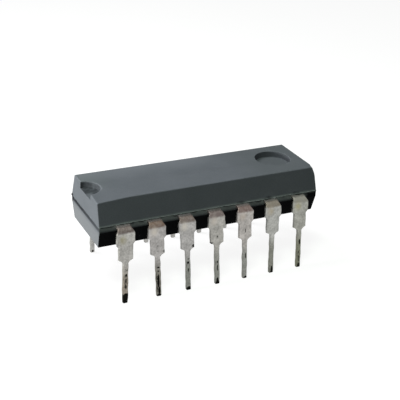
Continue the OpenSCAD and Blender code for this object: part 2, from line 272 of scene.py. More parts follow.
def lead_surface(name, n, spacing, section, lean=0.0, lump=0.0, coat=0.0, last=None):
    """One lead as a rounded rectangle carried along the blank and bent with it. Returns the piece, the punch
    for its lock hole and, for each point, its distances along the blank and to the right of its middle."""
    k = abs(row_place(n))
    left, right = resample(blank_edges(k, lean), spacing)
    if last is not None:
        keep = (left[:, 1] + right[:, 1]) / 2 <= last
        left, right = left[keep], right[keep]
    half_t = np.full(len(left), STRIP_T / 2)
    if last is None:
        # The tip is rounded off all round, as a quarter of an ellipse
        turn = np.radians(np.linspace(15, 80, 6))[:, None]
        middle, half = (left[-1] + right[-1]) / 2, (right[-1] - left[-1]) / 2
        rise = np.array([0, TIP_ROUND])
        end_half = half - [TIP_ROUND, 0]
        narrow = end_half + (half - end_half) * np.cos(turn)
        left = np.concatenate([left, middle + rise * np.sin(turn) - narrow])
        right = np.concatenate([right, middle + rise * np.sin(turn) + narrow])
        half_t = np.concatenate([half_t, STRIP_T / 2 - TIP_THINNING * (1 - np.cos(turn[:, 0]))])
    middle, half = (left + right) / 2, (right - left) / 2
    half_w = np.linalg.norm(half, axis=1)
    across_way = half / half_w[:, None]
    anchor, out = rounded_rectangle(*section)
    sideways = anchor[:, 0] * (half_w[:, None] - STRIP_EDGE_R) + STRIP_EDGE_R * out[:, 0]
    off = anchor[:, 1] * (half_t[:, None] - STRIP_EDGE_R) + STRIP_EDGE_R * out[:, 1]
    along = np.repeat(middle[:, 1:], len(anchor), 1)
    around = np.tile(np.arange(len(anchor)) / len(anchor), (len(middle), 1))
    # Solder stands on the strip unevenly outside the body, and not on the last of the tip
    outside = np.clip((along - BODY_W / 2 - 0.3) / 0.3, 0, 1)
    outside *= np.clip((bend_end + leg_l - TIP_ROUND - along) / 0.3, 0, 1)
    below_bend = np.clip((along - bend_end - 0.4) / 0.3, 0, 1)
    swell = outside * (lump * ripple(along, around, 100 + n) + coat * below_bend)
    sideways += swell * out[:, 0]
    off += 0.6 * swell * out[:, 1]
    blank = middle[:, None, :] + across_way[:, None, :] * sideways[..., None]
    points = form(blank[..., 0], blank[..., 1], off)
    mirror_x, mirror_y = (-1 if row_place(n) < 0 else 1), (-1 if n <= LEADS // 2 else 1)
    points *= [mirror_x, mirror_y, 1]
    piece = closed_surface(name, points, inside_out=mirror_x * mirror_y > 0)
    lock = turned_solid("lock", [(LOCK_R, PUNCH_LOW), (LOCK_R, PUNCH_HIGH)], lock_place(n), 48)
    return piece, lock, along, sideways * mirror_x


def linear(hex_colour):
    """An sRGB hex colour as linear RGBA: the lower part divided by 12.92, the rest to the power 2.4."""
    srgb = np.array([int(hex_colour[at:at + 2], 16) for at in (0, 2, 4)]) / 255
    rgb = np.where(srgb <= 0.04045, srgb / 12.92, ((srgb + 0.055) / 1.055) ** 2.4)
    return (*rgb.tolist(), 1.0)


def add(tree, kind, values={}, links={}, **settings):
    """Adds a shader node with its own settings, the values of its inputs and links into them, and returns
    its outputs."""
    made = tree.nodes.new("ShaderNode" + kind)
    for key, value in settings.items():
        setattr(made, key, value)
    for key, value in values.items():
        made.inputs[key].default_value = value
    for key, source in links.items():
        tree.links.new(source, made.inputs[key])
    return made.outputs


def bare_material(name):
    """A new material with nothing in its tree but the output."""
    made = bpy.data.materials.new(name)
    made.use_nodes = True
    made.node_tree.nodes.clear()
    return made, made.node_tree


def dipped_tin(name, base, pin, tarnish, stain_and_highlight):
    """Hot-dipped tin-lead solder on a copper alloy, dulled by age: a soft metallic sheen, cloudy and lumpy,
    greyer on the pin, with painted shade on the sheared edges, brown tarnish on the shoulder, a patch under
    the bend that is a stain on some leads and a painted highlight on others, and black flux residue. The
    colours are the leg's, the pin's, the tarnish's and the patch's."""
    made, tree = bare_material(name)
    place = add(tree, "TexCoord")["Object"]
    # Clouds of oxide about 0.6 mm across, and the pimples of the solder, about 0.15 mm
    cloudy = {"Scale": 1 / (0.6 * MM), "Detail": 4.0, "Roughness": 0.6}
    clouds = add(tree, "TexNoise", cloudy, {"Vector": place})["Fac"]
    pimples = add(tree, "TexNoise", {"Scale": 1 / (0.15 * MM), "Detail": 3.0}, {"Vector": place})["Fac"]
    dull = add(tree, "Attribute", attribute_name="dull")["Fac"]
    metal = add(tree, "Mix", {6: linear(base), 7: linear(pin)}, {0: dull}, data_type="RGBA")[2]
    shade = add(tree, "MapRange", {1: 0.3, 2: 0.7, 3: 1.1, 4: 0.8}, {0: clouds})[0]
    metal = add(tree, "VectorMath", {}, {0: metal, 1: shade}, operation="MULTIPLY")[0]
    speckle = add(tree, "MapRange", {1: 0.35, 2: 0.65, 3: 1.12, 4: 0.88}, {0: pimples})[0]
    metal = add(tree, "VectorMath", {}, {0: metal, 1: speckle}, operation="MULTIPLY")[0]
    # The sheared edges, which face sideways, are painted darker than the rolled faces: painted shade
    painted_edge_shade = add(tree, "SeparateXYZ", {}, {"Vector": add(tree, "TexCoord")["Normal"]})["X"]
    painted_edge_shade = add(tree, "Math", {}, {0: painted_edge_shade}, operation="ABSOLUTE")[0]
    painted_edge_shade = add(tree, "MapRange", {1: 0.15, 2: 0.75, 3: 1.0, 4: 0.68}, {0: painted_edge_shade})[0]
    metal = add(tree, "VectorMath", {}, {0: metal, 1: painted_edge_shade}, operation="MULTIPLY")[0]
    brown = add(tree, "Attribute", attribute_name="tarnish")["Fac"]
    worn = add(tree, "MapRange", {1: 0.2, 2: 0.6, 3: 0.75, 4: 1.0}, {0: pimples})[0]
    brown = add(tree, "Math", {}, {0: brown, 1: worn}, operation="MULTIPLY")[0]
    metal = add(tree, "Mix", {7: linear(tarnish)}, {0: brown, 6: metal}, data_type="RGBA")[2]
    # The patch under the bend: a stain, and on leads 2 to 4 a painted highlight
    bend_patch = add(tree, "Attribute", attribute_name="stain_and_highlight")["Fac"]
    blotch = add(tree, "MapRange", {1: 0.3, 2: 0.7, 3: 0.5, 4: 1.0}, {0: clouds})[0]
    bend_patch = add(tree, "Math", {}, {0: bend_patch, 1: blotch}, operation="MULTIPLY")[0]
    metal = add(tree, "Mix", {7: linear(stain_and_highlight)}, {0: bend_patch, 6: metal}, data_type="RGBA")[2]
    residue = add(tree, "Attribute", attribute_name="residue")["Fac"]
    ragged = add(tree, "Math", {1: 0.55}, {0: pimples, 2: residue}, operation="MULTIPLY_ADD")[0]
    black = add(tree, "MapRange", {1: 0.62, 2: 0.92}, {0: ragged})[0]
    metal = add(tree, "Mix", {7: linear("191815")}, {0: black, 6: metal}, data_type="RGBA")[2]
    rough = add(tree, "MapRange", {1: 0.3, 2: 0.7, 3: 0.42, 4: 0.58}, {0: clouds})[0]
    rough = add(tree, "Mix", {3: 0.85}, {0: black, 2: rough})[0]
    bare = add(tree, "Math", {0: 1.0}, {1: black}, operation="SUBTRACT")[0]
    bump = add(tree, "Bump", {"Strength": 0.6, "Distance": 0.01 * MM}, {"Height": pimples})["Normal"]
    shader = add(tree, "BsdfPrincipled", {"Specular IOR Level": 0.1}, {
        "Base Color": metal, "Metallic": bare, "Roughness": rough, "Normal": bump})
    add(tree, "OutputMaterial", {}, {"Surface": shader[0]})
    return made


# Black residue on the front row and on lead 14: height over the tips, distance to the right of the pin's
# middle, half height, half width, and strength
RESIDUE = {
    1: [(2.75, 0.0, 0.2, 0.25, 0.45), (2.35, 0.03, 0.2, 0.12, 0.68), (1.9, 0.0, 0.3, 0.14, 0.55),
        (1.4, 0.0, 0.3, 0.14, 0.58), (1.75, 0.0, 1.1, 0.5, 0.34), (0.25, 0.0, 0.75, 0.5, 1.3),
        (0.0, 0.0, 0.4, 0.5, 2.0)],
    2: [(2.48, 0.0, 0.12, 0.16, 0.72), (2.15, 0.0, 0.12, 0.16, 0.55), (1.32, -0.02, 0.75, 0.1, 1.3),
        (1.2, -0.15, 1.3, 0.1, 0.5), (0.5, 0.02, 0.42, 0.12, 1.1), (0.0, 0.0, 0.25, 0.3, 1.2),
        (3.8, 0.52, 0.16, 0.09, 0.8), (3.85, 0.0, 0.1, 0.09, 0.55), (4.25, 0.0, 0.2, 0.08, 0.45)],
    3: [(2.7, 0.0, 0.25, 0.16, 0.46), (2.38, -0.03, 0.12, 0.13, 1.3), (1.75, -0.02, 0.3, 0.1, 0.55),
        (3.75, 0.5, 0.16, 0.15, 1.8), (0.1, 0.02, 0.28, 0.28, 1.3)],
    4: [(4.13, 0.0, 0.12, 0.1, 0.75), (3.66, -0.5, 0.09, 0.13, 1.1), (1.95, 0.0, 0.16, 0.08, 1.1),
        (1.45, 0.0, 0.4, 0.07, 0.75), (0.35, 0.0, 0.3, 0.12, 1.1), (0.05, 0.02, 0.3, 0.26, 1.6)],
    5: [(4.2, 0.0, 0.22, 0.11, 0.62), (2.0, 0.03, 0.34, 0.06, 0.85), (0.08, 0.04, 0.2, 0.2, 0.8)],
    6: [(6.5, -0.35, 0.14, 0.3, 1.0), (0.3, 0.03, 0.42, 0.12, 1.1), (0.0, 0.0, 0.2, 0.24, 1.1)],
    7: [(2.3, 0.03, 0.34, 0.11, 0.75), (1.35, -0.03, 0.25, 0.1, 0.6), (6.52, 0.15, 0.22, 0.5, 1.0),
        (0.75, 0.0, 0.5, 0.14, 0.5), (0.2, 0.0, 0.3, 0.24, 0.6), (0.0, 0.0, 0.12, 0.3, 0.9)],
    14: [(0.16, 0.0, 0.14, 0.12, 0.9)],
}
# Colours of each front lead: its leg, its pin, the tarnish on its shoulder and the patch under its bend, a
# stain that is lighter than the leg on leads 2 to 4 as a painted highlight
TINTS = {
    1: ("aaa8a4", "8e867c", "625955", "8c8668"), 2: ("a8a5a3", "827f77", "695a50", "c4bcb0"),
    3: ("a6a4a2", "82837d", "6a605a", "c8c2b8"), 4: ("a4a29d", "84857f", "6a605d", "bcb4aa"),
    5: ("aba7a3", "888984", "6e5f5a", "a89c90"), 6: ("a5a5a1", "818279", "7a7469", "a69c88"),
    7: ("9c9c95", "7b7c6c", "84837a", "a09a74"),
}
TINTS |= {n: ("b4b3b0", "adaca8", "6e675c", "a69c88") for n in range(8, LEADS + 1)}
# How far the pins lean at the tip, the height of the solder's lumps, and its extra thickness on some leads
LEANS = {1: 0.22, 2: -0.08, 3: -0.09, 4: 0.09, 5: 0.03, 6: -0.05, 14: -0.15}
LUMP = 0.014
COATS = {1: 0.025, 2: 0.01, 4: 0.01}

for n in range(1, LEADS + 1):
    random = np.random.default_rng(n)
    piece, lock, along, sideways = lead_surface(
        f"tinned_lead_{n}", n, spacing=0.06, section=(8, 2, 4),
        lean=LEANS.get(n, 0.0), lump=LUMP, coat=COATS.get(n, 0.0))
    height = (bend_end + leg_l - along) * math.cos(SPLAY)
    # The leads without spots of their own get one at a random place, and a dark tip
    spots = RESIDUE.get(n) or [
        (random.uniform(0.8, 2.6), random.uniform(-0.08, 0.08), random.uniform(0.1, 0.4), 0.08, 0.6),
        (0.0, 0.0, random.uniform(0.06, 0.12), 0.2, 0.6),
    ]
    # Each spot is an ellipse that fades outwards over its outer half, and the strongest spot counts
    near = [1 - np.hypot((height - h) / half_h, (sideways - x) / half_w) for h, x, half_h, half_w, _ in spots]
    residue = np.max([np.clip(share * 2, 0, 1) * spot[4] for share, spot in zip(near, spots)], axis=0)
    # Brown between the body and the bend's foot, but not on the thick solder along the strip's edges
    stretch = [BODY_W / 2, bend_y, bend_y + 0.12, bend_end - 0.1, bend_end + 0.02]
    shoulder = np.interp(along, stretch, [0.15, 0.35, 1, 1, 0])
    tarnish = shoulder * np.clip((STUB_W / 2 + 0.02 - np.abs(sideways)) / 0.14, 0, 1)
    # The patch under the bend sits lower on lead 1
    drop = 0.45 if n == 1 else 0.25
    stain_and_highlight = np.clip(1 - np.hypot((along - bend_end - drop) / 0.5, (sideways + 0.25) / 0.4), 0, 1)
    dull = np.clip((3.3 - height) / 1.3, 0, 1)
    for label, values in (("residue", residue), ("tarnish", tarnish), ("stain_and_highlight", stain_and_highlight), ("dull", dull)):
        layer = piece.data.attributes.new(label, "FLOAT", "POINT")
        layer.data.foreach_set("value", values.ravel().astype(np.float32))
    cut(piece, [lock])
    soften(piece, 50)
    piece.data.materials.clear()
    piece.data.materials.append(dipped_tin(f"dipped_tin_{n}", *TINTS[n]))
    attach(piece, "root")
    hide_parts(f"lead_{n}")


def dress(node_name, material):
    """Gives a solid that stays as it was built its own material."""
    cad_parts[node_name].data.materials.clear()
    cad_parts[node_name].data.materials.append(material)


# The pad and its tie bars.
# The middle of the same leadframe, pressed down a little and flashed with silver so that the die sticks.
# Its tie bars held it while the body was moulded, and were sheared off flush with the ends.
silvered, tree = bare_material("silver_flashed_strip")
place = add(tree, "TexCoord")["Object"]
# Rolling lines along the strip, drawn 0.05 mm apart
lines = add(tree, "Mapping", {"Scale": (1.0, 12.0, 12.0)}, {"Vector": place})[0]
lines = add(tree, "TexNoise", {"Scale": 1 / (0.6 * MM), "Detail": 3.0}, {"Vector": lines})["Fac"]
metal = add(tree, "Mix", {6: linear("c9c6c0"), 7: linear("a49d94")}, {0: lines}, data_type="RGBA")[2]
rough = add(tree, "MapRange", {1: 0.3, 2: 0.7, 3: 0.32, 4: 0.46}, {0: lines})[0]
bump = add(tree, "Bump", {"Strength": 0.3, "Distance": 0.003 * MM}, {"Height": lines})["Normal"]
# The sheared ends of the tie bars are in the open air. They have tarnished to a dull grey, and the one at the
# notched end is painted darker still, as painted shadow under the fin.
where = add(tree, "SeparateXYZ", {}, {"Vector": place})
end_on = add(tree, "Math", {}, {0: where["X"]}, operation="ABSOLUTE")[0]
tarnished = add(tree, "MapRange", {1: 9.44 * MM, 2: 9.48 * MM}, {0: end_on})[0]
notched = add(tree, "MapRange", {1: -9.3 * MM, 2: -9.4 * MM}, {0: where["X"]})[0]
tarnish = add(tree, "Mix", {6: linear("5d6064"), 7: linear("2b2d31")}, {0: notched}, data_type="RGBA")[2]
metal = add(tree, "Mix", {}, {0: tarnished, 6: metal, 7: tarnish}, data_type="RGBA")[2]
rough = add(tree, "Mix", {3: 0.8}, {0: tarnished, 2: rough})[0]
bare = add(tree, "Math", {0: 1.0}, {1: tarnished}, operation="SUBTRACT")[0]
shader = add(tree, "BsdfPrincipled", {"Specular IOR Level": 0.1}, {
    "Base Color": metal, "Metallic": bare, "Roughness": rough, "Normal": bump})
add(tree, "OutputMaterial", {}, {"Surface": shader[0]})
dress("die_pad", silvered)

# The adhesive and the die.
# Silver-filled epoxy cured under a sawn square of silicon, whose polished face carries the circuit:
# blocks of thin metal under glass, a shade lighter than the bare silicon round them.
adhesive, tree = bare_material("silver_filled_adhesive")
place = add(tree, "TexCoord")["Object"]
flakes = add(tree, "TexVoronoi", {"Scale": 1 / (0.04 * MM)}, {"Vector": place})["Distance"]
paste = add(tree, "Mix", {6: linear("a8a49c"), 7: linear("7d7a74")}, {0: flakes}, data_type="RGBA")[2]
shader = add(tree, "BsdfPrincipled", {"Metallic": 0.5, "Roughness": 0.6}, {"Base Color": paste})
add(tree, "OutputMaterial", {}, {"Surface": shader[0]})
dress("die_attach", adhesive)

silicon, tree = bare_material("polished_silicon")
place = add(tree, "TexCoord")["Object"]
# Circuit blocks of 0.2 by 0.1 mm with 0.01 mm of bare silicon between them
blocks = add(tree, "TexBrick", {
    "Color1": linear("4a5262"), "Color2": linear("5c5a6c"), "Mortar": linear("23252c"),
    "Scale": 1 / MM, "Mortar Size": 0.01, "Brick Width": 0.2, "Row Height": 0.1,
}, {"Vector": place})["Color"]
shader = add(tree, "BsdfPrincipled", {"Roughness": 0.12, "IOR": 1.46, "Coat Weight": 0.4}, {
    "Base Color": blocks})
add(tree, "OutputMaterial", {}, {"Surface": shader[0]})
dress("die", silicon)

# The bond wires.
# Gold wire of 0.03 mm, melted to a ball on the die and pressed to a stitch on each finger.
gold, tree = bare_material("bond_gold")
place = add(tree, "TexCoord")["Object"]
drawn = add(tree, "TexNoise", {"Scale": 1 / (0.02 * MM)}, {"Vector": place})["Fac"]
metal = add(tree, "Mix", {6: linear("e6b85c"), 7: linear("cf9c45")}, {0: drawn}, data_type="RGBA")[2]
shader = add(tree, "BsdfPrincipled", {"Metallic": 1.0, "Roughness": 0.25}, {"Base Color": metal})
add(tree, "OutputMaterial", {}, {"Surface": shader[0]})
for n in range(1, LEADS + 1):
    dress(f"wire_{n}", gold)

# The body.
# Black-grey epoxy filled with silica, pressed hot into a two-part mould round the leadframe. The walls
# draft back from an upright band, a thin ragged fin stands at the parting line, and two ejector pins
# and two inserts left their round marks.
BODY_L = 19.0
UNDER_Z, LOWER_H, UPPER_H, BAND_H = 4.34, 1.92, 1.9, 0.48
SIDE_DRAFT, END_DRAFT = math.radians(16.5), math.radians(2)
EDGE_R, CORNER_R = 0.08, 0.05
FIN_REACH, FIN_T = 0.06, 0.06
NOTCH_R, NOTCH_DEPTH = 1.2, 0.5
RECESS_R, RECESS_FLOOR_R, RECESS_DEPTH, RECESS_INSET, RECESS_OFFSET = 1.5, 1.42, 0.5, 2.34, 0.2
MARK_R, MARK_DEPTH, MARK_INSET = 1.0, 0.08, 2.2
RELIEF = 0.03

parting_z = UNDER_Z + LOWER_H
top_z = parting_z + UPPER_H
band_foot_z = parting_z - BAND_H
top_half_l = BODY_L / 2 - UPPER_H * math.tan(END_DRAFT)
under_half_l = BODY_L / 2 - (LOWER_H - BAND_H) * math.tan(END_DRAFT)
recess_middle = (top_half_l - RECESS_INSET, RECESS_OFFSET)


def half_width(z, half, draft):
    """The body's half width at each height: the band's, less the draft above the parting line and below
    the band's foot, and drawn in by a quarter circle along the top and bottom edges."""
    z = np.asarray(z, float)
    rise = np.where(z > parting_z, z - parting_z, np.maximum(band_foot_z - z, 0))
    wall = half - rise * math.tan(draft)
    height = np.where(z > parting_z, top_z - z, z - UNDER_Z)
    whole = np.where(z > parting_z, UPPER_H, LOWER_H - BAND_H)
    centre = half - whole * math.tan(draft) - EDGE_R * (1 - math.sin(draft)) / math.cos(draft)
    round_off = centre + np.sqrt(np.maximum(EDGE_R ** 2 - (EDGE_R - height) ** 2, 0))
    return np.where(height < EDGE_R * (1 - math.sin(draft)), round_off, wall)


turn = np.radians(np.linspace(90, 0, 9))
edge = EDGE_R * (1 - np.sin(turn))
heights = np.concatenate([
    UNDER_Z + edge,
    np.linspace(UNDER_Z + 0.2, band_foot_z - 0.04, 6),
    band_foot_z + np.array([-0.015, 0.015, 0.06]),
    parting_z + FIN_T / 2 * np.array([-1.6, -1, -0.98, -0.5, 0, 0.5, 0.98, 1, 1.6]),
    np.linspace(parting_z + 0.1, top_z - 0.2, 7),
    top_z - edge[::-1],
])
anchor, out = rounded_rectangle(150, 50, 6)
half = np.stack([half_width(heights, BODY_L / 2, END_DRAFT), half_width(heights, BODY_W / 2, SIDE_DRAFT)], 1)
# More rings lie on the top face, so that its worn corners bend smoothly
inset = np.array([0.15, 0.35, 0.7, 1.2, 1.7, 2.2])
heights = np.concatenate([heights, np.full(len(inset), top_z)])
half = np.concatenate([half, half[-1] - inset[:, None]])
outline = anchor * (half[:, None, :] - CORNER_R) + out * CORNER_R
# The fin's reach wanders round the parting line, and its edge is rounded over its thickness
around = np.arange(len(anchor)) / len(anchor)
random = np.random.default_rng(5)
turns, phases = random.integers(5, 90, 24), random.uniform(0, 1, 24)
ragged = np.sin(2 * math.pi * (around[:, None] * turns + phases)).sum(1) / 3.5
reach = FIN_REACH * np.clip(0.42 + 0.36 * ragged, 0.04, 0.98)
swell = np.sqrt(np.clip(1 - ((heights - parting_z) / (FIN_T / 2)) ** 4, 0, 1))
outline += swell[:, None, None] * reach[None, :, None] * out
# The fin reaches furthest at the back corner of the notched end
corner = np.array([-BODY_L / 2, BODY_W / 2])
at_corner = swell[:, None] * np.exp(-((outline - corner) ** 2).sum(-1) / 0.12 ** 2)
outline += at_corner[..., None] * [-0.04, 0.06]
outline[..., 0] = np.maximum(outline[..., 0], -BODY_L / 2 - 0.98 * FIN_REACH)
rings = np.concatenate([outline, np.repeat(heights[:, None, None], len(anchor), 1)], -1)
# The two front corners of the top are worn down: each is moved by its own step, less with distance
for side, radius, power, step in ((-1, 2.8, 1.2, (0, 0.02, -0.16)), (1, 0.6, 1.0, (-0.15, 0.06, -0.02))):
    corner = np.array([side * top_half_l, -half[-1 - len(inset), 1], top_z])
    near = np.clip(1 - np.linalg.norm(rings - corner, axis=-1, keepdims=True) / radius, 0, 1)
    rings += near ** power * np.array(step)
body = closed_surface("epoxy_body", rings)


def pressed_mark(name, rim_r, floor_r, depth, centre, rim=0.04):
    """The solid that an insert takes out of the top face: a floor, a rounded foot, a drafted wall and a rim
    that opens as a quarter circle."""
    turn = np.radians(np.linspace(0, 90, 6))
    foot = np.stack([floor_r - rim * (1 - np.sin(turn)), -depth + rim * (1 - np.cos(turn))], 1)
    lip = np.stack([rim_r + rim * (1 - np.cos(turn)) - rim / 2, -rim * (1 - np.sin(turn))], 1)
    profile = np.concatenate([foot, lip, [[rim_r + rim / 2, 1.0]]]) + [0, top_z]
    return turned_solid(name, profile, centre)


def whole_copy(node_name):
    """A closed copy of a CAD solid, whose loose triangles are joined first."""
    joined = bmesh.new()
    joined.from_mesh(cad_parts[node_name].data)
    bmesh.ops.remove_doubles(joined, verts=joined.verts, dist=1e-8)
    mesh = bpy.data.meshes.new("copy")
    joined.to_mesh(mesh)
    joined.free()
    return bpy.data.objects.new("copy", mesh)


tools = [
    pressed_mark("notch", NOTCH_R, NOTCH_R - RELIEF, NOTCH_DEPTH, (-top_half_l, 0)),
    pressed_mark("recess", RECESS_R, RECESS_FLOOR_R, RECESS_DEPTH, recess_middle),
]
for side in (-1, 1):
    profile = [(MARK_R, UNDER_Z - 1), (MARK_R, UNDER_Z), (MARK_R - RELIEF, UNDER_Z + MARK_DEPTH)]
    tools.append(turned_solid("mark", profile, (side * (under_half_l - MARK_INSET), 0)))
# Each lead leaves a hollow in its own plain shape, which stops just outside the body
for n in range(1, LEADS + 1):
    inner, lock, _, _ = lead_surface(f"inner_{n}", n, spacing=0.5, section=(1, 1, 2), last=BODY_W / 2 + 0.4)
    cut(inner, [lock])
    tools.append(inner)
for node_name in ["die_pad", "die_attach", "die"] + [f"wire_{n}" for n in range(1, LEADS + 1)]:
    tools.append(whole_copy(node_name))
cut(body, tools)
soften(body, 32)

moulded, tree = bare_material("moulded_filled_epoxy")
place = add(tree, "TexCoord")["Object"]
# The mould's spark-eroded grain is about 0.03 mm, and is drawn at 0.09 mm so that it shows. Softer
# blotches of 2 mm come from the resin's flow, and a noise of 0.35 mm breaks up the darker fin, the dark spots
# and the painted shade in the notch.
fine = {"Scale": 1 / (0.09 * MM), "Detail": 3.0, "Roughness": 0.6}
grain = add(tree, "TexNoise", fine, {"Vector": place})["Fac"]
flow = add(tree, "TexNoise", {"Scale": 1 / (2.0 * MM), "Detail": 2.0}, {"Vector": place})["Fac"]
spotting = add(tree, "TexNoise", {"Scale": 1 / (0.35 * MM), "Detail": 3.0}, {"Vector": place})["Fac"]
resin = add(tree, "Mix", {6: linear("5d6167"), 7: linear("686b72")}, {0: flow}, data_type="RGBA")[2]
speckle = add(tree, "MapRange", {1: 0.3, 2: 0.7, 3: 0.93, 4: 1.07}, {0: grain})[0]
resin = add(tree, "VectorMath", {}, {0: resin, 1: speckle}, operation="MULTIPLY")[0]
x, y, z = add(tree, "SeparateXYZ", {}, {"Vector": place})
# The band along the leads is painted paler, most of all close to the fin: painted light
beside = add(tree, "Math", {}, {0: y}, operation="ABSOLUTE")[0]
beside = add(tree, "MapRange", {1: (BODY_W / 2 - 0.05) * MM, 2: BODY_W / 2 * MM}, {0: beside})[0]
band_light = add(tree, "MapRange", {1: (band_foot_z - 0.03) * MM, 2: (parting_z - 0.1) * MM}, {0: z})[0]
band_light = add(tree, "Math", {}, {0: band_light, 1: beside}, operation="MULTIPLY")[0]
resin = add(tree, "Mix", {7: linear("8b9292")}, {0: band_light, 6: resin}, data_type="RGBA")[2]
# The fin itself is darker, unevenly so, and more towards the notched end
on_fin = add(tree, "Math", {}, {0: y}, operation="ABSOLUTE")[0]
on_fin = add(tree, "MapRange", {1: BODY_W / 2 * MM, 2: (BODY_W / 2 + 0.008) * MM}, {0: on_fin})[0]
uneven = add(tree, "MapRange", {1: 0.4, 2: 0.6, 3: 0.95, 4: 0.45}, {0: spotting})[0]
on_fin = add(tree, "Math", {}, {0: on_fin, 1: uneven}, operation="MULTIPLY")[0]
darker_leftwards = add(tree, "MapRange", {1: 2.5 * MM, 2: 0.5 * MM, 3: 0.4, 4: 1.0}, {0: x})[0]
on_fin = add(tree, "Math", {}, {0: on_fin, 1: darker_leftwards}, operation="MULTIPLY")[0]
resin = add(tree, "Mix", {7: linear("3a3e3f")}, {0: on_fin, 6: resin}, data_type="RGBA")[2]
# The long walls of the lower half, where they face down, are painted almost black: painted shade
facing = add(tree, "SeparateXYZ", {}, {"Vector": add(tree, "TexCoord")["Normal"]})
down = add(tree, "MapRange", {1: -0.08, 2: -0.2}, {0: facing["Z"]})[0]
side_on = add(tree, "Math", {}, {0: facing["Y"]}, operation="ABSOLUTE")[0]
side_on = add(tree, "MapRange", {1: 0.8, 2: 0.92}, {0: side_on})[0]
# The band is painted darker towards its foot, and as dark past the last leads: painted shade, and the painted
# shadow of the last leads
foot = add(tree, "MapRange", {1: (parting_z - 0.3) * MM, 2: band_foot_z * MM, 4: 0.62}, {0: z})[0]
past = add(tree, "MapRange", {1: 8.3 * MM, 2: 8.7 * MM}, {0: x})[0]
under_fin = add(tree, "MapRange", {1: (parting_z - 0.04) * MM, 2: (parting_z - 0.12) * MM}, {0: z})[0]
past = add(tree, "Math", {}, {0: past, 1: under_fin}, operation="MULTIPLY")[0]
down = add(tree, "Math", {}, {0: down, 1: past}, operation="MAXIMUM")[0]
down = add(tree, "Math", {}, {0: down, 1: foot}, operation="MAXIMUM")[0]
lower_wall_shade = add(tree, "Math", {}, {0: down, 1: side_on}, operation="MULTIPLY")[0]
resin = add(tree, "Mix", {7: linear("07080a")}, {0: lower_wall_shade, 6: resin}, data_type="RGBA")[2]
# The lower part of the notched end is painted paler, a little more so at the back: painted light
end_on = add(tree, "MapRange", {1: -0.9, 2: -0.98}, {0: facing["X"]})[0]
end_light = add(tree, "MapRange", {1: 3 * MM, 2: -3 * MM, 3: 0.85, 4: 0.7}, {0: y})[0]
lower = add(tree, "MapRange", {1: (parting_z - 0.3) * MM, 2: (parting_z - 0.8) * MM}, {0: z})[0]
end_light = add(tree, "Math", {}, {0: end_light, 1: lower}, operation="MULTIPLY")[0]
end_light = add(tree, "Math", {}, {0: end_light, 1: end_on}, operation="MULTIPLY")[0]
resin = add(tree, "Mix", {7: linear("7b7d82")}, {0: end_light, 6: resin}, data_type="RGBA")[2]
# The left of the top has a greenish cast
cast = add(tree, "MapRange", {1: -6.5 * MM, 2: -9.0 * MM, 4: 0.4}, {0: x})[0]
behind = add(tree, "MapRange", {1: -1.5 * MM, 2: 1.5 * MM}, {0: y})[0]
cast = add(tree, "Math", {}, {0: cast, 1: behind}, operation="MULTIPLY")[0]
upwards = add(tree, "MapRange", {1: 0.8, 2: 0.95}, {0: facing["Z"]})[0]
cast = add(tree, "Math", {}, {0: cast, 1: upwards}, operation="MULTIPLY")[0]
resin = add(tree, "Mix", {7: linear("636b68")}, {0: cast, 6: resin}, data_type="RGBA")[2]
# The rest of the top is painted paler behind and darker round the recess: painted light and shade
paler = add(tree, "MapRange", {1: 0.5 * MM, 2: 2.2 * MM, 4: 0.3}, {0: y})[0]
leftwards = add(tree, "MapRange", {1: 3.0 * MM, 2: 0.5 * MM}, {0: x})[0]
paler = add(tree, "Math", {}, {0: paler, 1: leftwards}, operation="MULTIPLY")[0]
paler = add(tree, "Math", {}, {0: paler, 1: upwards}, operation="MULTIPLY")[0]
resin = add(tree, "Mix", {7: linear("83868d")}, {0: paler, 6: resin}, data_type="RGBA")[2]
darker = add(tree, "MapRange", {1: 2.8 * MM, 2: 5.0 * MM, 4: 0.3}, {0: x})[0]
darker = add(tree, "Math", {}, {0: darker, 1: upwards}, operation="MULTIPLY")[0]
resin = add(tree, "Mix", {7: linear("4e5453")}, {0: darker, 6: resin}, data_type="RGBA")[2]
# The notch's floor is painted dark in patches: painted shade
flat_place = add(tree, "VectorMath", {1: (1, 1, 0)}, {0: place}, operation="MULTIPLY")[0]


def within(x, y, radius, blur):
    """1 inside the circle round (x, y) seen from above, falling to 0 over the blur, all in millimetres."""
    far = add(tree, "VectorMath", {1: (x * MM, y * MM, 0)}, {0: flat_place}, operation="DISTANCE")["Value"]
    return add(tree, "MapRange", {1: (radius + blur) * MM, 2: (radius - blur) * MM}, {0: far})[0]


sunk = add(tree, "MapRange", {1: (top_z - 0.02) * MM, 2: (top_z - 0.12) * MM}, {0: z})[0]
notch_floor_z = top_z - NOTCH_DEPTH
low = add(tree, "MapRange", {1: (notch_floor_z - 0.03) * MM, 2: (notch_floor_z - 0.01) * MM}, {0: z})[0]
in_notch = within(-top_half_l, 0, NOTCH_R, 0.04)
in_notch = add(tree, "Math", {}, {0: in_notch, 1: sunk}, operation="MULTIPLY")[0]
in_notch = add(tree, "Math", {}, {0: in_notch, 1: low}, operation="MULTIPLY")[0]
by_end, by_wall = within(-9.3, 0.7, 0.8, 0.15), within(-8.42, 0.1, 0.6, 0.18)
patches = add(tree, "Math", {}, {0: by_end, 1: by_wall}, operation="MAXIMUM")[0]
patchy = add(tree, "MapRange", {1: 0.35, 2: 0.65, 3: 0.05, 4: 0.3}, {0: spotting})[0]
patchy = add(tree, "Math", {1: 0.5}, {0: patches, 2: patchy}, operation="MULTIPLY_ADD")[0]
in_notch = add(tree, "Math", {}, {0: in_notch, 1: patchy}, operation="MULTIPLY")[0]
